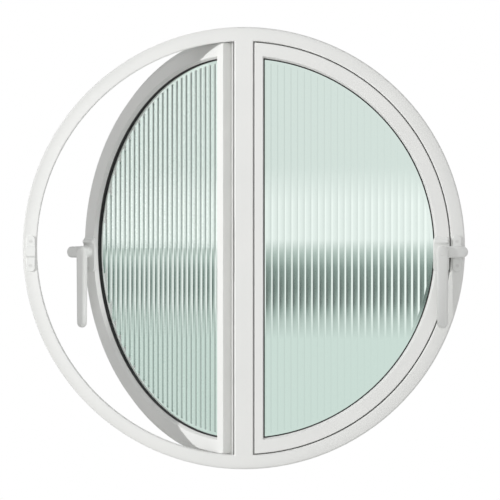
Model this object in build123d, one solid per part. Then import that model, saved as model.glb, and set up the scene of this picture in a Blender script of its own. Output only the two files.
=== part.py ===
import os
from math import ceil

from build123d import *

# Round window of two half-round leaves in one ring, seen from the room.
# X runs right, Y out through the wall and Z up. Depths are counted from the room face of the ring.

# Ring
frame_diameter = 750
frame_depth = 45
frame_face = 24
frame_wall = 4
lip_depth = 16
edge_round = 2.4

# Upright bar between the leaves
mullion_face = 32
mullion_heel = 20

# Leaf frames
leaf_gap = 1.9
leaf_depth = 22
leaf_round = 1.2
rim_face = 22
rim_web = 10
rim_slope = 3.4
stile_face = 14.5
stile_web = 10
stile_slope = 0.8
front_lip = 7
flange_thick = 4
rim_overlap = 12
stile_overlap = 5.4
left_opening = 44
right_opening = 0

# Reeded panes with their seals, blocks and beads
pane_thick = 6
pane_rim_clearance = 4
pane_stile_clearance = 1.5
reed_pitch = 11.28
reed_height = 1.2
reed_root = 0.3
reed_margin = 5
gasket_thick = 3.5
gasket_show = 2.2
block_length = 40
block_thick = 5
block_angles = (-72, -48)

# Weather seals behind the ring lip and the bar
seal_thick = 1.2
seal_rim_width = 5.4
seal_bar_width = 2.6
seal_inset = 0.5

# Hinges
hinge_length = 108
hinge_drop = 3
hinge_notch = 2
hinge_relief = 0.6
knuckle_radius = 4
knuckle_count = 5
knuckle_gap = 0.3
leaf_plate = 2
plate_reach = 12
plate_relief = 0.4
hinge_pin_radius = 2.2
hinge_pin_head = 3.2
hinge_pin_head_thick = 1.5
hinge_screw_spacing = 80

# Handles: base on the leaf, lever and nose in one casting on a pivot
handle_inset = 1.6
pivot_drop = 6.6
base_width = 27.2
base_height = 60
base_shift = 1.85
base_drop = 3.8
base_thick = 4
base_corner = 7
base_bevel = 0.8
boss_radius = 9.5
boss_height = 2
ridge_radius = 4.6
ridge_length = 24.4
ridge_inset = 8.6
ridge_sink = 0.6
ridge_end_round = 2
base_screw_inset = 5.6
casting_gap = 0.3
nose_thick = 7
nose_hub_radius = 10.25
nose_tip_radius = 9.5
nose_reach = 43.5
nose_round = 3.4
grip_thick = 11
grip_top_radius = 10.4
grip_end_radius = 9.2
grip_length = 129.5
grip_round = 4.6
pivot_pin_radius = 4
pivot_pin_head = 5.6
pivot_pin_head_thick = 1.8
pivot_seat = 6
cap_radius = 6
cap_thick = 1
cap_proud = 0.5
cap_recess = 3.4

# Striker plates on the ring
striker_width = 15
striker_height = 61
striker_thick = 3
striker_corner = 6.5
striker_inset = 1.5
striker_drop = 9.2
striker_bevel = 0.7
wedge_height = 20.7
wedge_rise = 3.4
wedge_proud = 3
wedge_ramp = 3
striker_screw_spacing = 41.2

# Countersunk screws
screw_radius = 1.75
screw_head_radius = 3.1
screw_head_height = 1.5
screw_length = 12
base_screw_length = 5.6
hinge_screw_head_radius = 2.8
slot_width = 0.9
slot_depth = 0.7

# Fits
fit_clearance = 0.05
hole_end = 0.4
overrun = 5

frame_radius = frame_diameter / 2
lip_radius = frame_radius - frame_face
wall_radius = frame_radius - frame_wall
bar_edge = mullion_face / 2
heel_edge = mullion_heel / 2

rim_radius = lip_radius - leaf_gap
rim_sight = rim_radius - rim_face
rim_seat = rim_radius - rim_web
flange_radius = rim_radius + rim_overlap
flange_front = leaf_depth - flange_thick
stile_edge = bar_edge + leaf_gap
stile_sight = stile_edge + stile_face
stile_seat = stile_edge + stile_web
flange_edge = stile_edge - stile_overlap

pane_radius = rim_seat - pane_rim_clearance
pane_edge = stile_seat + pane_stile_clearance
pane_front = front_lip + gasket_thick
pane_back = pane_front + pane_thick
border_front = pane_front + reed_height + reed_root
field_radius = rim_sight - rim_slope - gasket_show - reed_margin
field_edge = stile_sight + stile_slope + gasket_show

hinge_x = bar_edge
hinge_y = leaf_depth + knuckle_radius
hinge_axis = Axis((hinge_x, hinge_y, 0), (0, 0, 1))

pivot_radius = (rim_radius + rim_sight) / 2 - handle_inset
base_screw_drop = base_height / 2 + base_drop - base_screw_inset
ridge_rise = base_height / 2 - base_drop - ridge_inset
nose_back = base_thick + boss_height + casting_gap
nose_front = nose_back + nose_thick
grip_front = nose_front + grip_thick
striker_radius = (frame_radius + lip_radius) / 2 - striker_inset


def outline(*points):
    return make_face(Polyline(*points, close=True))


def turned(section):
    return revolve(section, Axis.Y)


def upright(section, half_height):
    return extrude(section, amount=half_height, both=True)


def facing_room(radius, height):
    # A working plane on the room face: its own Z runs towards the room
    return Plane(origin=(radius, 0, height), x_dir=(1, 0, 0), z_dir=(0, -1, 0))


def facing_out(across, height):
    # A working plane on the back of a leaf or the bar: its own Z runs outwards
    return Plane(origin=(across, leaf_depth, height), x_dir=(-1, 0, 0), z_dir=(0, 1, 0))


def half_round(front, back, radius, edge, back_radius=None, back_edge=None):
    # A disc lying across Y with its hinge side cut flat, with sides that may slope
    back_radius = radius if back_radius is None else back_radius
    back_edge = edge if back_edge is None else back_edge
    disc = turned(outline((0, front), (radius, front), (back_radius, back), (0, back)))
    far = max(radius, back_radius) + overrun
    side = upright(outline((edge, front), (far, front), (far, back), (back_edge, back)), far)
    return disc & side


def half_round_loop(front, back, radius, edge, inner_radius, inner_edge):
    inside = half_round(front - overrun, back + overrun, inner_radius, inner_edge)
    return half_round(front, back, radius, edge) - inside


def beside_stile(shape, limit):
    # Cuts a leaf-shaped loop where its straight run ends: the straight piece, then the curved one
    box = shape.bounding_box()
    reach = box.max.Z + overrun
    near = upright(
        outline(
            (box.min.X - overrun, box.min.Y - overrun),
            (limit, box.min.Y - overrun),
            (limit, box.max.Y + overrun),
            (box.min.X - overrun, box.max.Y + overrun),
        ),
        reach,
    )
    return shape & near, shape - near


def screw(length, head_radius):
    # Head face at local Z zero, shank running down
    section = outline(
        (0, 0),
        (head_radius, 0),
        (screw_radius, -screw_head_height),
        (screw_radius, -length),
        (0, -length),
    )
    body = revolve(Plane.XZ * section, Axis.Z)
    slot = Pos(0, 0, -slot_depth) * Box(
        2 * head_radius + overrun, slot_width, 2 * slot_depth, align=(Align.CENTER, Align.CENTER, Align.MIN)
    )
    return body - slot


def screw_hole(length, head_radius):
    section = outline(
        (0, overrun),
        (head_radius + fit_clearance, overrun),
        (head_radius + fit_clearance, 0),
        (screw_radius + fit_clearance, -screw_head_height),
        (screw_radius + fit_clearance, -length - hole_end),
        (0, -length - hole_end),
    )
    return revolve(Plane.XZ * section, Axis.Z)


def striker_plane():
    return facing_room(striker_radius, -striker_drop)


def striker_screw_places():
    for rise in (striker_screw_spacing / 2, -striker_screw_spacing / 2):
        yield striker_plane() * Pos(0, rise, striker_thick)


def hinge_screw_places(across):
    for rise in (hinge_screw_spacing / 2, 0, -hinge_screw_spacing / 2):
        yield facing_out(across, rise - hinge_drop) * Pos(0, 0, leaf_plate)


def base_plane():
    return facing_room(pivot_radius, -pivot_drop)


def base_screw_place():
    return base_plane() * Pos(0, -base_screw_drop, base_thick)


def mirrored(shape):
    return mirror(shape, Plane.YZ)


frame_plate_screw_x = hinge_x - (plate_reach + knuckle_radius + plate_relief) / 2
leaf_plate_screw_x = hinge_x + (plate_reach + knuckle_radius + plate_relief) / 2


def bar_run():
    # The upright bar at full height, before it is fitted into the ring
    section = outline(
        (-bar_edge, 0),
        (bar_edge, 0),
        (bar_edge, lip_depth),
        (heel_edge, lip_depth),
        (heel_edge, leaf_depth),
        (-heel_edge, leaf_depth),
        (-heel_edge, lip_depth),
        (-bar_edge, lip_depth),
    )
    return upright(fillet(section.vertices().group_by(Axis.Y)[0], edge_round), frame_radius)


def outer_frame():
    section = outline(
        (lip_radius, 0),
        (frame_radius, 0),
        (frame_radius, frame_depth),
        (wall_radius, frame_depth),
        (wall_radius, lip_depth),
        (lip_radius, lip_depth),
    )
    ring = turned(fillet(section.vertices().group_by(Axis.Y)[0], edge_round))
    corner = turned(
        outline(
            (lip_radius, 0),
            (lip_radius + edge_round, 0),
            (lip_radius + edge_round, edge_round),
            (lip_radius, edge_round),
        )
    )
    # The ring's rounded edge stops where the bar is welded in, so the two faces run on
    ring += (corner - ring) & bar_run()
    for place in striker_screw_places():
        hole = place * screw_hole(screw_length, screw_head_radius)
        ring -= hole
        ring -= mirrored(hole)
    return ring


def centre_mullion():
    inside = turned(
        outline(
            (0, 0),
            (lip_radius, 0),
            (lip_radius, lip_depth),
            (wall_radius, lip_depth),
            (wall_radius, frame_depth),
            (0, frame_depth),
        )
    )
    bar = bar_run() & inside
    for place in hinge_screw_places(frame_plate_screw_x):
        hole = place * screw_hole(screw_length, hinge_screw_head_radius)
        bar -= hole
        bar -= mirrored(hole)
    return bar


def weather_seal():
    return half_round_loop(
        lip_depth,
        lip_depth + seal_thick,
        lip_radius + seal_inset + seal_rim_width,
        bar_edge - seal_inset - seal_bar_width,
        lip_radius + seal_inset,
        bar_edge - seal_inset,
    )


def leaf_frame():
    # Stile and rim: front lip, web and outside flange, thinned behind the hinge knuckles
    body = half_round(0, leaf_depth, rim_radius, stile_edge)
    body -= half_round(
        0, front_lip, rim_sight, stile_sight, rim_sight - rim_slope, stile_sight + stile_slope
    )
    body -= half_round(front_lip, leaf_depth + overrun, rim_seat, stile_seat)
    body = fillet(body.faces().sort_by(Axis.Y)[0].edges(), leaf_round)
    flange = half_round_loop(
        flange_front, leaf_depth, flange_radius, flange_edge, rim_radius, stile_edge
    )
    relief_front = leaf_depth - hinge_relief
    notch = upright(
        outline(
            (flange_edge - overrun, relief_front),
            (stile_edge, relief_front),
            (stile_edge, leaf_depth + overrun),
            (flange_edge - overrun, leaf_depth + overrun),
        ),
        hinge_length / 2 + hinge_notch,
    )
    body += flange - Pos(0, 0, -hinge_drop) * notch
    body -= base_screw_place() * screw_hole(base_screw_length + base_thick, screw_head_radius)
    body -= base_plane() * Pos(0, 0, -pivot_seat) * Cylinder(
        pivot_pin_radius + fit_clearance,
        pivot_seat + overrun,
        align=(Align.CENTER, Align.CENTER, Align.MIN),
    )
    for place in hinge_screw_places(leaf_plate_screw_x):
        body -= place * screw_hole(screw_length, hinge_screw_head_radius)
    return beside_stile(body, stile_sight + stile_slope)


def pane():
    # A flat sheet with upright reeds pressed on its room side; they stop short of the rim
    sheet = half_round(border_front, pane_back, pane_radius, pane_edge)
    count = ceil((field_radius - field_edge) / reed_pitch)
    valley = pane_front + reed_height
    root = (border_front + pane_back) / 2
    far = field_edge + count * reed_pitch
    reeds = Curve() + [
        ThreePointArc(
            (field_edge + index * reed_pitch, valley),
            (field_edge + (index + 1 / 2) * reed_pitch, pane_front),
            (field_edge + (index + 1) * reed_pitch, valley),
        )
        for index in range(count)
    ]
    back = Polyline((far, valley), (far, root), (field_edge, root), (field_edge, valley))
    field = upright(make_face(reeds + back), pane_radius)
    field &= half_round(pane_front - overrun, pane_back, field_radius, field_edge - overrun)
    return sheet + field


def inner_gasket():
    return half_round_loop(
        front_lip,
        border_front,
        pane_radius,
        pane_edge,
        field_radius + reed_margin,
        field_edge,
    )


def outer_gasket():
    return half_round_loop(
        pane_back, flange_front, pane_radius, pane_edge, rim_sight - rim_slope, stile_sight + stile_slope
    )


def glazing_beads():
    inner_edge = stile_sight + stile_slope
    loop = half_round_loop(
        flange_front, leaf_depth, rim_seat, stile_seat, rim_sight - rim_slope, inner_edge
    )
    return beside_stile(loop, inner_edge)


def setting_blocks():
    # Two packers between the pane's lower edge and the rim
    middle = (pane_front + pane_back) / 2
    section = outline(
        (pane_radius, middle - block_thick / 2),
        (rim_seat, middle - block_thick / 2),
        (rim_seat, middle + block_thick / 2),
        (pane_radius, middle + block_thick / 2),
    )
    sweep = degrees_of_arc(block_length, rim_seat)
    blocks = Part()
    for angle in block_angles:
        block = revolve(section, Axis.Y, revolution_arc=sweep)
        blocks += block.rotate(Axis.Y, -angle - sweep / 2)
    return blocks


def degrees_of_arc(length, radius):
    full_turn = 360
    return full_turn * length / Circle(radius).edge().length


def knuckles(first):
    # Every second knuckle of the hinge, bored for its pin
    pitch = hinge_length / knuckle_count
    barrel = Part()
    for index in range(first, knuckle_count, 2):
        middle = (index + 1 / 2) * pitch - hinge_length / 2 - hinge_drop
        barrel += Pos(hinge_x, hinge_y, middle) * Cylinder(knuckle_radius, pitch - knuckle_gap)
    return barrel


def hinge_plate(first, side, screw_x):
    # One wing of the hinge: side is -1 towards the bar and 1 towards the leaf
    pitch = hinge_length / knuckle_count
    near = hinge_x + side * (knuckle_radius + plate_relief)
    far = hinge_x + side * plate_reach
    root = outline(
        (near, leaf_depth), (far, leaf_depth), (far, leaf_depth + leaf_plate), (near, leaf_depth + leaf_plate)
    )
    plate = Pos(0, 0, -hinge_drop) * upright(root, hinge_length / 2)
    web = outline(
        (hinge_x, leaf_depth),
        (near, leaf_depth),
        (near, leaf_depth + leaf_plate),
        (hinge_x, leaf_depth + leaf_plate),
    )
    for index in range(first, knuckle_count, 2):
        middle = (index + 1 / 2) * pitch - hinge_length / 2 - hinge_drop
        plate += Pos(0, 0, middle) * upright(web, (pitch - knuckle_gap) / 2)
    plate += knuckles(first)
    plate -= Pos(hinge_x, hinge_y, -hinge_drop) * Cylinder(
        hinge_pin_radius + fit_clearance, hinge_length + overrun
    )
    for place in hinge_screw_places(screw_x):
        plate -= place * screw_hole(screw_length, hinge_screw_head_radius)
    return plate


def hinge_pin():
    pin = Pos(hinge_x, hinge_y, -hinge_drop) * Cylinder(hinge_pin_radius, hinge_length)
    head = Pos(hinge_x, hinge_y, hinge_length / 2 - hinge_drop) * Cylinder(
        hinge_pin_head, hinge_pin_head_thick, align=(Align.CENTER, Align.CENTER, Align.MIN)
    )
    return pin + chamfer(head.edges().group_by(Axis.Z)[-1], hinge_pin_head_thick / 2)


def hinge_screws(screw_x):
    screws = Part()
    for place in hinge_screw_places(screw_x):
        screws += place * screw(screw_length, hinge_screw_head_radius)
    return screws


def handle_base():
    plate = extrude(
        Pos(-base_shift, -base_drop) * RectangleRounded(base_width, base_height, base_corner),
        amount=base_thick,
    )
    plate = chamfer(plate.edges().group_by(Axis.Z)[-1], base_bevel)
    boss = Pos(0, 0, base_thick) * Cylinder(
        boss_radius, boss_height, align=(Align.CENTER, Align.CENTER, Align.MIN)
    )
    ridge = Rot(0, 90, 0) * Cylinder(ridge_radius, ridge_length)
    ridge = fillet(ridge.edges().filter_by(GeomType.CIRCLE), ridge_end_round)
    ridge = Pos(-base_shift, ridge_rise, base_thick - ridge_sink) * ridge
    under = Pos(-base_shift, ridge_rise, 0) * Box(
        base_width, base_height, 2 * ridge_radius, align=(Align.CENTER, Align.CENTER, Align.MAX)
    )
    base = plate + boss + (ridge - under)
    base -= Cylinder(pivot_pin_radius + fit_clearance, 2 * grip_front)
    base -= Pos(0, -base_screw_drop, base_thick) * screw_hole(
        base_screw_length + base_thick, screw_head_radius
    )
    return base_plane() * base


def pivot_pin():
    head_front = grip_front - cap_thick - casting_gap
    shank = Pos(0, 0, -pivot_seat) * Cylinder(
        pivot_pin_radius, pivot_seat + head_front, align=(Align.CENTER, Align.CENTER, Align.MIN)
    )
    head = Pos(0, 0, head_front) * Cylinder(
        pivot_pin_head, pivot_pin_head_thick, align=(Align.CENTER, Align.CENTER, Align.MAX)
    )
    return base_plane() * (shank + head)


def tapered_bar(start_radius, end_radius, run, thick, rounding):
    # A bar with round ends that narrows along local X, its edges rounded
    ends = Circle(start_radius) + Pos(run, 0) * Circle(end_radius)
    hull = make_hull(ends.edges())
    bar = extrude(hull, amount=thick)
    return fillet(bar.edges().filter_by(Axis.Z, reverse=True), rounding)


def handle_casting():
    nose = Pos(0, 0, nose_back) * tapered_bar(
        nose_hub_radius, nose_tip_radius, nose_reach - nose_tip_radius, nose_thick, nose_round
    )
    grip = Pos(0, 0, nose_front) * Rot(0, 0, -90) * tapered_bar(
        grip_top_radius, grip_end_radius, grip_length - grip_end_radius, grip_thick, grip_round
    )
    hub = Pos(0, 0, nose_back) * Cylinder(
        boss_radius, nose_thick + grip_thick / 2, align=(Align.CENTER, Align.CENTER, Align.MIN)
    )
    casting = nose + grip + hub
    casting -= Cylinder(pivot_pin_radius + fit_clearance, 2 * grip_front + overrun)
    casting -= Pos(0, 0, grip_front - cap_recess) * Cylinder(
        cap_radius, cap_recess + overrun, align=(Align.CENTER, Align.CENTER, Align.MIN)
    )
    return base_plane() * casting


def handle_cap():
    section = outline(
        (0, cap_proud),
        (cap_radius - cap_proud, cap_proud),
        (cap_radius, 0),
        (cap_radius, -cap_thick),
        (0, -cap_thick),
    )
    cap = revolve(Plane.XZ * section, Axis.Z)
    return base_plane() * Pos(0, 0, grip_front) * cap


def handle_screw():
    return base_screw_place() * screw(base_screw_length + base_thick, screw_head_radius)


def striker():
    plate = extrude(RectangleRounded(striker_width, striker_height, striker_corner), amount=striker_thick)
    plate = chamfer(plate.edges().group_by(Axis.Z)[-1], striker_bevel)
    half_height = wedge_height / 2
    side = outline(
        (-half_height, 0),
        (half_height, 0),
        (half_height - wedge_ramp, wedge_proud),
        (-half_height + wedge_ramp, wedge_proud),
    )
    wedge = extrude(Plane.YZ * side, amount=striker_width / 2, both=True)
    plate += Pos(0, wedge_rise, striker_thick) * wedge
    for rise in (striker_screw_spacing / 2, -striker_screw_spacing / 2):
        plate -= Pos(0, rise, striker_thick) * screw_hole(screw_length, screw_head_radius)
    return striker_plane() * plate


def striker_screws():
    screws = Part()
    for place in striker_screw_places():
        screws += place * screw(screw_length, screw_head_radius)
    return screws


def frame_pieces():
    # Pieces fixed to the ring on the right-hand side
    return {
        "weather_seal": weather_seal(),
        "striker": striker(),
        "striker_screws": striker_screws(),
        "hinge_frame_plate": hinge_plate(0, -1, frame_plate_screw_x),
        "hinge_frame_screws": hinge_screws(frame_plate_screw_x),
        "hinge_pin": hinge_pin(),
    }


def leaf_pieces():
    # Pieces that swing with the right-hand leaf, closed
    stile, rim = leaf_frame()
    straight_bead, curved_bead = glazing_beads()
    return {
        "leaf_stile": stile,
        "leaf_rim": rim,
        "reeded_pane": pane(),
        "inner_gasket": inner_gasket(),
        "outer_gasket": outer_gasket(),
        "straight_bead": straight_bead,
        "curved_bead": curved_bead,
        "setting_blocks": setting_blocks(),
        "hinge_leaf_plate": hinge_plate(1, 1, leaf_plate_screw_x),
        "hinge_leaf_screws": hinge_screws(leaf_plate_screw_x),
        "handle_base": handle_base(),
        "handle_screw": handle_screw(),
        "handle_pivot_pin": pivot_pin(),
        "handle_lever": handle_casting(),
        "handle_cap": handle_cap(),
    }


def save(name, shape):
    # The origin is the middle of the ring at half its depth
    export_step(Pos(0, -frame_depth / 2, 0) * shape, f"parts/{name}.step")


os.makedirs("parts", exist_ok=True)
save("outer_frame", outer_frame())
save("centre_mullion", centre_mullion())
for name, shape in frame_pieces().items():
    save(f"right_{name}", shape)
    save(f"left_{name}", mirrored(shape))
for name, shape in leaf_pieces().items():
    save(f"right_{name}", shape.rotate(hinge_axis, right_opening))
    save(f"left_{name}", mirrored(shape.rotate(hinge_axis, left_opening)))
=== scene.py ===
from math import atan, cos, radians, sin, sqrt

import bmesh
import bpy
from mathutils import Matrix, Quaternion, Vector


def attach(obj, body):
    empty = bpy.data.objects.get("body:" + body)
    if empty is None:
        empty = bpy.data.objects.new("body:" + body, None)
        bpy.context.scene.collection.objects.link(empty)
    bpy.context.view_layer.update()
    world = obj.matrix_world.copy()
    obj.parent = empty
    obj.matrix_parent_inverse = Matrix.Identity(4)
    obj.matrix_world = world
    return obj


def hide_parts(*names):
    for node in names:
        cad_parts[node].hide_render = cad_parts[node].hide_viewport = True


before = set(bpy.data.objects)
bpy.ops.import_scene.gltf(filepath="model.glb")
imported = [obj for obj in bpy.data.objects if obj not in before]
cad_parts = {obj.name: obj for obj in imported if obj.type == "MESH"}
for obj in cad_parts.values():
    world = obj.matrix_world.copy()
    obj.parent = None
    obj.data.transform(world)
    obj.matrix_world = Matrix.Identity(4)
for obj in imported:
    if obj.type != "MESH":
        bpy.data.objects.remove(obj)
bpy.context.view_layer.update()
scene = bpy.context.scene
mm = 0.001


def hexColour(text):
    # sRGB hex to linear red, green, blue and full alpha
    parts = [int(text[i:i + 2], 16) / 255 for i in (1, 3, 5)]
    return [p / 12.92 if p <= 0.04045 else ((p + 0.055) / 1.055) ** 2.4 for p in parts] + [1]


def addNode(tree, kind, settings=None, inputs=None, links=None):
    # settings go on the node, inputs on its sockets, links join a socket to another node's output
    node = tree.nodes.new(kind)
    for name, value in (settings or {}).items():
        setattr(node, name, value)
    for name, value in (inputs or {}).items():
        node.inputs[name].default_value = value
    for name, output in (links or {}).items():
        tree.links.new(output, node.inputs[name])
    return node


def newMaterial(name):
    material = bpy.data.materials.new(name)
    material.use_nodes = True
    tree = material.node_tree
    tree.nodes.clear()
    output = addNode(tree, "ShaderNodeOutputMaterial")
    place = addNode(tree, "ShaderNodeTexCoord").outputs["Object"]
    return material, tree, output, place


def perMetre(sizeInMm):
    # scale that makes one texture cell this many millimetres wide
    return 1 / (sizeInMm * mm)


# Powder coat baked on metal: an even film that flows into a faint orange peel, so broad soft highlights,
# and a tone that drifts slightly where the film is thicker.
coatShine = {"ior": 1.5, "spread": 0.05}


def powderCoat(name, look):
    material, tree, output, place = newMaterial(name)
    drift = addNode(tree, "ShaderNodeTexNoise", {"noise_dimensions": "3D"},
                    {"Scale": perMetre(look["driftMm"]), "Detail": 3.0}, {"Vector": place})
    tone = addNode(tree, "ShaderNodeMix", {"data_type": "RGBA"},
                   {6: hexColour(look["thin"]), 7: hexColour(look["thick"])},
                   {"Factor": drift.outputs["Fac"]})
    peel = addNode(tree, "ShaderNodeTexNoise", None,
                   {"Scale": perMetre(look["peelMm"]), "Detail": 1.5}, {"Vector": place})
    gloss = addNode(tree, "ShaderNodeMapRange", None,
                    {"To Min": look["roughness"] - coatShine["spread"],
                     "To Max": look["roughness"] + coatShine["spread"]},
                    {"Value": peel.outputs["Fac"]})
    relief = addNode(tree, "ShaderNodeBump", None,
                     {"Strength": look["peelStrength"], "Distance": look["peelDepthMm"] * mm},
                     {"Height": peel.outputs["Fac"]})
    coat = addNode(tree, "ShaderNodeBsdfPrincipled", None, {"IOR": coatShine["ior"]},
                   {"Base Color": tone.outputs[2], "Roughness": gloss.outputs["Result"],
                    "Normal": relief.outputs["Normal"]})
    tree.links.new(coat.outputs["BSDF"], output.inputs["Surface"])
    return material


# real orange peel is about 1 mm across; it is drawn at 2 to 4 mm so that it shows at all
frameCoatLook = {"thin": "#EBECEA", "thick": "#F2F2F0", "driftMm": 90, "peelMm": 4,
                 "peelDepthMm": 0.05, "peelStrength": 0.5, "roughness": 0.38}
handleCoatLook = {"thin": "#E9EAE8", "thick": "#EFF0EE", "driftMm": 30, "peelMm": 3,
                  "peelDepthMm": 0.03, "peelStrength": 0.5, "roughness": 0.3}
hingeCoatLook = {"thin": "#E6E7E4", "thick": "#EDEDEB", "driftMm": 25, "peelMm": 3,
                 "peelDepthMm": 0.04, "peelStrength": 0.5, "roughness": 0.42}
screwCoatLook = {"thin": "#DDDEDC", "thick": "#E8E8E6", "driftMm": 6, "peelMm": 2,
                 "peelDepthMm": 0.03, "peelStrength": 0.5, "roughness": 0.34}
powderCoatedAluminium = powderCoat("powderCoatedAluminium", frameCoatLook)
powderCoatedZincCasting = powderCoat("powderCoatedZincCasting", handleCoatLook)
powderCoatedHingeSteel = powderCoat("powderCoatedHingeSteel", hingeCoatLook)
paintedScrewSteel = powderCoat("paintedScrewSteel", screwCoatLook)

# Extruded EPDM rubber: deep black, matt, with faint lines and a dusty bloom.
rubberLook = {"colour": "#0C0D0D", "bloom": "#1A1B1B", "bloomMm": 7, "grainMm": 1.5, "grainDepthMm": 0.03,
              "grainStrength": 0.4, "roughness": 0.62, "ior": 1.5}


def extrudedRubber(name, look):
    material, tree, output, place = newMaterial(name)
    bloom = addNode(tree, "ShaderNodeTexNoise", None,
                    {"Scale": perMetre(look["bloomMm"]), "Detail": 4.0}, {"Vector": place})
    tone = addNode(tree, "ShaderNodeMix", {"data_type": "RGBA"},
                   {6: hexColour(look["colour"]), 7: hexColour(look["bloom"])},
                   {"Factor": bloom.outputs["Fac"]})
    grain = addNode(tree, "ShaderNodeTexNoise", None,
                    {"Scale": perMetre(look["grainMm"]), "Detail": 2.0}, {"Vector": place})
    relief = addNode(tree, "ShaderNodeBump", None,
                     {"Strength": look["grainStrength"], "Distance": look["grainDepthMm"] * mm},
                     {"Height": grain.outputs["Fac"]})
    rubber = addNode(tree, "ShaderNodeBsdfPrincipled", None,
                     {"Roughness": look["roughness"], "IOR": look["ior"]},
                     {"Base Color": tone.outputs[2], "Normal": relief.outputs["Normal"]})
    tree.links.new(rubber.outputs["BSDF"], output.inputs["Surface"])
    return material


extrudedEpdm = extrudedRubber("extrudedEpdm", rubberLook)

# Moulded polypropylene packers: waxy, half matt, a little uneven in tone.
packerLook = {"colour": "#5B6E72", "pale": "#6C7F82", "flowMm": 9, "swirl": 0.8, "roughness": 0.45,
              "ior": 1.49}


def mouldedPlastic(name, look):
    material, tree, output, place = newMaterial(name)
    flow = addNode(tree, "ShaderNodeTexNoise", None,
                   {"Scale": perMetre(look["flowMm"]), "Detail": 2.0, "Distortion": look["swirl"]},
                   {"Vector": place})
    tone = addNode(tree, "ShaderNodeMix", {"data_type": "RGBA"},
                   {6: hexColour(look["colour"]), 7: hexColour(look["pale"])},
                   {"Factor": flow.outputs["Fac"]})
    plastic = addNode(tree, "ShaderNodeBsdfPrincipled", None,
                      {"Roughness": look["roughness"], "IOR": look["ior"]},
                      {"Base Color": tone.outputs[2]})
    tree.links.new(plastic.outputs["BSDF"], output.inputs["Surface"])
    return material


mouldedPolypropylene = mouldedPlastic("mouldedPolypropylene", packerLook)

# Zinc-plated steel pins and screws: a grey shine broken by fine turning marks.
steelLook = {"colour": "#B9BBBC", "dark": "#9C9FA1", "markMm": 0.8, "roughness": 0.3, "spread": 0.08}


def platedSteel(name, look):
    material, tree, output, place = newMaterial(name)
    marks = addNode(tree, "ShaderNodeTexNoise", None,
                    {"Scale": perMetre(look["markMm"]), "Detail": 2.0}, {"Vector": place})
    tone = addNode(tree, "ShaderNodeMix", {"data_type": "RGBA"},
                   {6: hexColour(look["dark"]), 7: hexColour(look["colour"])},
                   {"Factor": marks.outputs["Fac"]})
    gloss = addNode(tree, "ShaderNodeMapRange", None,
                    {"To Min": look["roughness"] - look["spread"],
                     "To Max": look["roughness"] + look["spread"]},
                    {"Value": marks.outputs["Fac"]})
    steel = addNode(tree, "ShaderNodeBsdfPrincipled", None, {"Metallic": 1.0},
                    {"Base Color": tone.outputs[2], "Roughness": gloss.outputs["Result"]})
    tree.links.new(steel.outputs["BSDF"], output.inputs["Surface"])
    return material


zincPlatedSteel = platedSteel("zincPlatedSteel", steelLook)

# Rolled soda-lime glass: clear with the faint green of iron, its reeds pressed by a roller, so the
# surface keeps a very slow wave along each reed.
glassLook = {"tint": "#F5FBF8", "waveMm": 60, "waveDepthMm": 0.02, "waveStrength": 0.3, "roughness": 0.0,
             "ior": 1.52}


def rolledGlass(name, look):
    material, tree, output, place = newMaterial(name)
    wave = addNode(tree, "ShaderNodeTexNoise", None,
                   {"Scale": perMetre(look["waveMm"]), "Detail": 1.0}, {"Vector": place})
    relief = addNode(tree, "ShaderNodeBump", None,
                     {"Strength": look["waveStrength"], "Distance": look["waveDepthMm"] * mm},
                     {"Height": wave.outputs["Fac"]})
    glass = addNode(tree, "ShaderNodeBsdfPrincipled", None,
                    {"Base Color": hexColour(look["tint"]), "Roughness": look["roughness"],
                     "IOR": look["ior"], "Transmission Weight": 1.0},
                    {"Normal": relief.outputs["Normal"]})
    tree.links.new(glass.outputs["BSDF"], output.inputs["Surface"])
    return material


rolledReededGlass = rolledGlass("rolledReededGlass", glassLook)

finishes = {
    "white_paint": powderCoatedAluminium,
    "reeded_glass": rolledReededGlass,
    "black_rubber": extrudedEpdm,
    "packer_plastic": mouldedPolypropylene,
    "handle_paint": powderCoatedZincCasting,
    "hinge_paint": powderCoatedHingeSteel,
    "screw_paint": paintedScrewSteel,
    "steel": zincPlatedSteel,
}
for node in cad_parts.values():
    for slot in node.material_slots:
        slot.material = finishes[slot.material.name.split(".")[0]]
print("finishes on:", ", ".join(sorted(finishes)))

# The leaves as closed on the right; the left one is the mirror image, swung open on its hinge
hinge = {"x": 16 * mm, "y": 3.5 * mm, "leftOpening": 44}


def onLeaf(side):
    if side == "right":
        return Matrix.Identity(4)
    axis = Vector((hinge["x"], hinge["y"], 0))
    swing = Matrix.Rotation(radians(hinge["leftOpening"]), 4, "Z")
    return Matrix.Scale(-1, 4, (1, 0, 0)) @ Matrix.Translation(axis) @ swing @ Matrix.Translation(-axis)


# The pane: a flat sheet whose reeds stop short of the rim, where the gasket lies on it
paneShape = {"edge": 29.4 * mm, "radius": 335.1 * mm, "border": -10.5 * mm, "back": -6.0 * mm,
             "fieldEdge": 35.4 * mm, "fieldRadius": 316.5 * mm, "crest": -12.0 * mm,
             "pitch": 11.28 * mm, "reedHeight": 1.2 * mm, "stepsPerReed": 12,
             "fieldEndShares": (0.4, 0.7, 0.88, 0.97, 1.0),
             "rimEndShares": (0.25, 0.5, 0.7, 0.85, 0.95, 0.99, 1.0),
             "closedBelow": 0.01 * mm, "sharpFrom": 30}


def reedFace(shape, across):
    # depth of the reeded face at this distance from the bar: arcs that meet in sharp valleys
    half = shape["pitch"] / 2
    height = shape["reedHeight"]
    bend = (half * half + height * height) / (2 * height)
    offset = (across - shape["fieldEdge"]) % shape["pitch"] - half
    return shape["crest"] + bend - sqrt(bend * bend - offset * offset)


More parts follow.
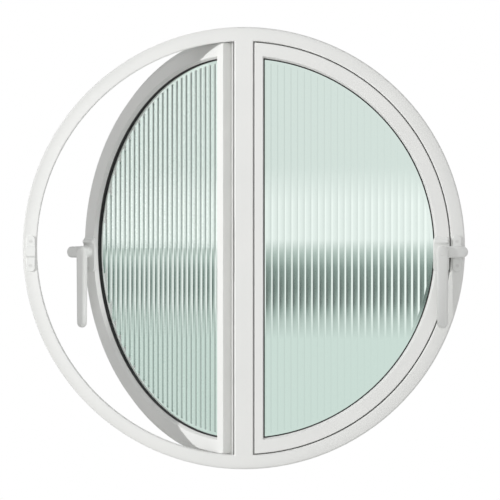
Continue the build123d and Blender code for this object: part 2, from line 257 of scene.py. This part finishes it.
def paneColumns(shape):
    # cuts across the pane, closer together where the outlines turn at the round end
    step = shape["pitch"] / shape["stepsPerReed"]
    reach = shape["fieldRadius"] - shape["fieldEdge"]
    field = [shape["fieldEdge"] + index * step for index in range(int(reach / step))]
    field += [field[-1] + (shape["fieldRadius"] - field[-1]) * share for share in shape["fieldEndShares"]]
    rest = [shape["fieldRadius"] + (shape["radius"] - shape["fieldRadius"]) * share
            for share in shape["rimEndShares"]]
    return [shape["edge"]] + field + rest, field


def buildPane(name, side, shape):
    build = bmesh.new()
    columns, field = paneColumns(shape)

    def corners(across, depth, radius):
        # the top and bottom point of one cut, one point only where the outline closes
        half = sqrt(max(radius ** 2 - across ** 2, 0))
        heights = (half, -half) if half > shape["closedBelow"] else (0,)
        points = [build.verts.new((across, depth, z)) for z in heights]
        return points[0], points[-1]

    outer = {x: corners(x, shape["border"], shape["radius"]) for x in columns}
    back = {x: corners(x, shape["back"], shape["radius"]) for x in columns}
    foot = {x: corners(x, shape["border"], shape["fieldRadius"]) for x in field}
    crown = {x: corners(x, reedFace(shape, x), shape["fieldRadius"]) for x in field}

    def face(*points, smooth=False):
        ring = list(dict.fromkeys(points))
        if len(ring) > 2:
            build.faces.new(ring).smooth = smooth

    for here, there in zip(columns, columns[1:]):
        face(back[here][0], back[there][0], back[there][1], back[here][1])
        for end in (0, 1):
            face(outer[here][end], outer[there][end], back[there][end], back[here][end])
        if here in foot and there in foot:
            face(crown[here][0], crown[there][0], crown[there][1], crown[here][1], smooth=True)
            for end in (0, 1):
                face(outer[here][end], outer[there][end], foot[there][end], foot[here][end])
                face(crown[here][end], crown[there][end], foot[there][end], foot[here][end])
        else:
            near = foot.get(here, ())
            far = foot.get(there, ())
            face(outer[here][0], *near, outer[here][1], outer[there][1], *far[::-1], outer[there][0])
    first = columns[0]
    face(outer[first][0], outer[first][1], back[first][1], back[first][0])
    first = field[0]
    face(crown[first][0], crown[first][1], foot[first][1], foot[first][0])
    bmesh.ops.recalc_face_normals(build, faces=build.faces)
    for edge in build.edges:
        edge.smooth = len(edge.link_faces) == 2 and edge.calc_face_angle() < radians(shape["sharpFrom"])
    build.transform(onLeaf(side))
    if side == "left":
        bmesh.ops.reverse_faces(build, faces=build.faces)
    mesh = bpy.data.meshes.new(name)
    build.to_mesh(mesh)
    build.free()
    pane = bpy.data.objects.new(name, mesh)
    scene.collection.objects.link(pane)
    pane.data.materials.append(rolledReededGlass)
    pane.visible_shadow = False  # clear glass hardly dims the light behind it
    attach(pane, side + "_leaf")
    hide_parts(side + "_reeded_pane")
    return pane


for side in ("left", "right"):
    pane = buildPane(side + "_reeded_glass", side, paneShape)
    print("pane", pane.name, len(pane.data.polygons), "faces")

# Camera far in front, level, a little right of the middle: the open leaf hardly shrinks with distance
view = {"x": 10.3 * mm, "y": -20022.5 * mm, "z": -3.2 * mm, "lens": 849.2, "sensor": 36}
camera = bpy.data.objects.new("camera", bpy.data.cameras.new("camera"))
camera.location = (view["x"], view["y"], view["z"])
camera.rotation_euler = (radians(90), 0, 0)
camera.data.lens = view["lens"]
camera.data.sensor_width = view["sensor"]
scene.collection.objects.link(camera)
scene.camera = camera
scene.view_settings.view_transform = "Standard"

# White surroundings. What falls on matt surfaces from them is turned down to leave room for the key light,
# and it comes mostly from the room and from its right.
worldLook = {"seen": 1.0, "fill": 0.27, "fromRoom": 0.45, "fromRight": 0.13}
world = bpy.data.worlds.new("studio")
world.use_nodes = True
scene.world = world
tree = world.node_tree
tree.nodes.clear()
path = addNode(tree, "ShaderNodeLightPath")
seen = addNode(tree, "ShaderNodeMath", {"operation": "ADD"}, None,
               {0: path.outputs["Is Camera Ray"], 1: path.outputs["Is Glossy Ray"]})
seen = addNode(tree, "ShaderNodeMath", {"operation": "ADD", "use_clamp": True}, None,
               {0: seen.outputs[0], 1: path.outputs["Is Transmission Ray"]})
direction = addNode(tree, "ShaderNodeVectorMath", {"operation": "DOT_PRODUCT"},
                    {1: (worldLook["fromRight"], -worldLook["fromRoom"], 0)},
                    {0: addNode(tree, "ShaderNodeTexCoord").outputs["Generated"]})
fill = addNode(tree, "ShaderNodeMath", {"operation": "ADD", "use_clamp": True}, {1: worldLook["fill"]},
               {0: direction.outputs["Value"]})
level = addNode(tree, "ShaderNodeMapRange", None, {"To Max": worldLook["seen"]},
                {"Value": seen.outputs[0], "To Min": fill.outputs[0]})
sky = addNode(tree, "ShaderNodeBackground", None, {"Color": hexColour("#FFFFFF")},
              {"Strength": level.outputs["Result"]})
addNode(tree, "ShaderNodeOutputWorld", None, None, {"Surface": sky.outputs["Background"]})

# Key: a hard-edged oval beam from far left, no wider than the ring, so that the open rim stays in shade.
# Bearings count from straight in front to the left.
keyLight = {"bearing": 57, "rise": 8, "distance": 3.0, "aim": (-0.040, -0.0225, 0.007), "roll": -5.2,
            "halfHeight": 0.382, "widthShare": 0.536, "blend": 0.03, "radius": 0.015, "power": 208}
# Small spot from the right that rounds the handle of the open leaf
handleLight = {"bearing": -36, "rise": 6, "distance": 2.5, "aim": (-0.279, 0.193, -0.060), "roll": 0,
               "halfHeight": 0.10, "widthShare": 0.6, "blend": 0.5, "radius": 0.03, "power": 80}


def spotLamp(name, look):
    bearing = radians(look["bearing"])
    rise = radians(look["rise"])
    toLamp = Vector((-sin(bearing) * cos(rise), -cos(bearing) * cos(rise), sin(rise)))
    turn = (-toLamp).to_track_quat("-Z", "Y") @ Quaternion((0, 0, 1), radians(look["roll"]))
    lamp = bpy.data.objects.new(name, bpy.data.lights.new(name, "SPOT"))
    lamp.location = Vector(look["aim"]) + toLamp * look["distance"]
    lamp.rotation_euler = turn.to_euler()
    lamp.scale = (look["widthShare"], 1, 1)
    lamp.data.spot_size = 2 * atan(look["halfHeight"] / look["distance"])
    lamp.data.spot_blend = look["blend"]
    lamp.data.shadow_soft_size = look["radius"]
    lamp.data.energy = look["power"]
    scene.collection.objects.link(lamp)
    return lamp


key = spotLamp("key", keyLight)
accent = spotLamp("accent", handleLight)

# Soft light from above for the floor and the upper edges
topLight = {"place": (0, -0.5, 2.6), "aim": (0, -0.5, 0), "size": (2.4, 2.4), "power": 10}
# White soft box on the left at the height of the panes' upper half, which only reflections show
sideLight = {"place": (-2.5, -0.2, 0.25), "aim": (0, -0.2, 0.25), "size": (2.6, 0.5), "power": 8}


def softBox(name, look):
    lamp = bpy.data.objects.new(name, bpy.data.lights.new(name, "AREA"))
    lamp.location = look["place"]
    lamp.rotation_euler = (Vector(look["aim"]) - lamp.location).to_track_quat("-Z", "Y").to_euler()
    lamp.data.shape = "RECTANGLE"
    lamp.data.size, lamp.data.size_y = look["size"]
    lamp.data.energy = look["power"]
    scene.collection.objects.link(lamp)
    return lamp


top = softBox("top", topLight)
sideBox = softBox("side", sideLight)
sideBox.visible_diffuse = False
for lamp in (key, accent, top):
    lamp.visible_glossy = False  # no lamp shapes in the glass
for lamp in (key, accent, top, sideBox):
    lamp.visible_transmission = False

# A card behind the window that only the glass shows, out of the camera's own sight: the reeds bend its
# soft grey-green fields into upright lines. Each field is a stack of bands, given by height in metres.
# A blend gives the two places across the card between which a field takes over from those before it.
cardLook = {"distance": 6.0, "halfWidth": 4.2, "halfHeight": 0.8, "glow": 1.0,
            "rightBlend": (-1.15, 0.9), "farBlend": (0.90, 1.02), "sideBlend": (-0.6, -2.4)}
cardColours = {"white": "#F8FEFB", "bright": "#EEF5F2", "cloud": "#DFE6E3", "mist": "#D8E2DE",
               "pale": "#CEDDD7", "sage": "#AEBDB7", "moss": "#768982", "shade": "#4C5F58", "deep": "#2C3D37"}
cardFields = {
    "left": ((-0.20, "pale"), (-0.14, "sage"), (-0.09, "moss"), (-0.05, "moss"), (-0.01, "sage"),
             (0.02, "cloud"), (0.12, "cloud"), (0.20, "mist")),
    "right": ((-0.20, "pale"), (-0.16, "sage"), (-0.135, "moss"), (-0.12, "shade"), (-0.08, "shade"),
              (-0.04, "moss"), (-0.01, "sage"), (0.02, "bright"), (0.10, "bright"), (0.18, "mist")),
    "far": ((-0.20, "pale"), (-0.13, "white"), (0.10, "white"), (0.18, "mist")),
    "side": ((-0.20, "moss"), (-0.15, "sage"), (-0.12, "cloud"), (-0.02, "cloud"), (0.00, "moss"),
             (0.13, "shade"), (0.36, "deep"))}
cardMesh = bpy.data.meshes.new("glassCard")
build = bmesh.new()
corners = [build.verts.new((x * cardLook["halfWidth"], cardLook["distance"], z * cardLook["halfHeight"]))
           for x, z in ((-1, -1), (1, -1), (1, 1), (-1, 1))]
build.faces.new(corners)
build.to_mesh(cardMesh)
build.free()
glassCard = bpy.data.objects.new("glassCard", cardMesh)
scene.collection.objects.link(glassCard)
glassCard.visible_camera = False
glassCard.visible_diffuse = False
glassCard.visible_glossy = False
glassCard.visible_shadow = False
material, tree, output, place = newMaterial("paintedCard")
onCard = addNode(tree, "ShaderNodeSeparateXYZ", None, None, {"Vector": place})
height = addNode(tree, "ShaderNodeMapRange", None,
                 {"From Min": -cardLook["halfHeight"], "From Max": cardLook["halfHeight"]},
                 {"Value": onCard.outputs["Z"]})
fields = {}
for name, bands in cardFields.items():
    ramp = addNode(tree, "ShaderNodeValToRGB", None, None, {"Fac": height.outputs["Result"]})
    stops = ramp.color_ramp.elements
    while len(stops) < len(bands):
        stops.new(0.5)  # moved to its own place below
    for stop, (z, colour) in zip(stops, bands):
        stop.position = (z / cardLook["halfHeight"] + 1) / 2
        stop.color = hexColour(cardColours[colour])
    fields[name] = ramp.outputs["Color"]
whole = fields["left"]
for name in ("right", "far", "side"):
    start, end = cardLook[name + "Blend"]
    part = addNode(tree, "ShaderNodeMapRange", {"interpolation_type": "SMOOTHSTEP"},
                   {"From Min": start, "From Max": end}, {"Value": onCard.outputs["X"]})
    whole = addNode(tree, "ShaderNodeMix", {"data_type": "RGBA"}, None,
                    {"Factor": part.outputs["Result"], 6: whole, 7: fields[name]}).outputs[2]
glow = addNode(tree, "ShaderNodeEmission", None, {"Strength": cardLook["glow"]}, {"Color": whole})
tree.links.new(glow.outputs["Emission"], output.inputs["Surface"])
cardMesh.materials.append(material)

# Pale floor a good way below, as under a window in a wall
floorLook = {"z": -1.1, "radius": 4.0, "segments": 96, "colour": "#F4F4F2", "roughness": 0.7, "lift": 0.28}
floorMesh = bpy.data.meshes.new("floor")
build = bmesh.new()
bmesh.ops.create_circle(build, cap_ends=True, segments=floorLook["segments"], radius=floorLook["radius"])
build.to_mesh(floorMesh)
build.free()
floor = bpy.data.objects.new("floor", floorMesh)
floor.location = (0, 0, floorLook["z"])
scene.collection.objects.link(floor)
material, tree, output, place = newMaterial("paintedFloor")
paint = addNode(tree, "ShaderNodeBsdfPrincipled", None,
                {"Base Color": hexColour(floorLook["colour"]), "Roughness": floorLook["roughness"],
                 "Emission Color": hexColour(floorLook["colour"]), "Emission Strength": floorLook["lift"]})
tree.links.new(paint.outputs["BSDF"], output.inputs["Surface"])
floorMesh.materials.append(material)
print("studio set: lamps, card, floor")
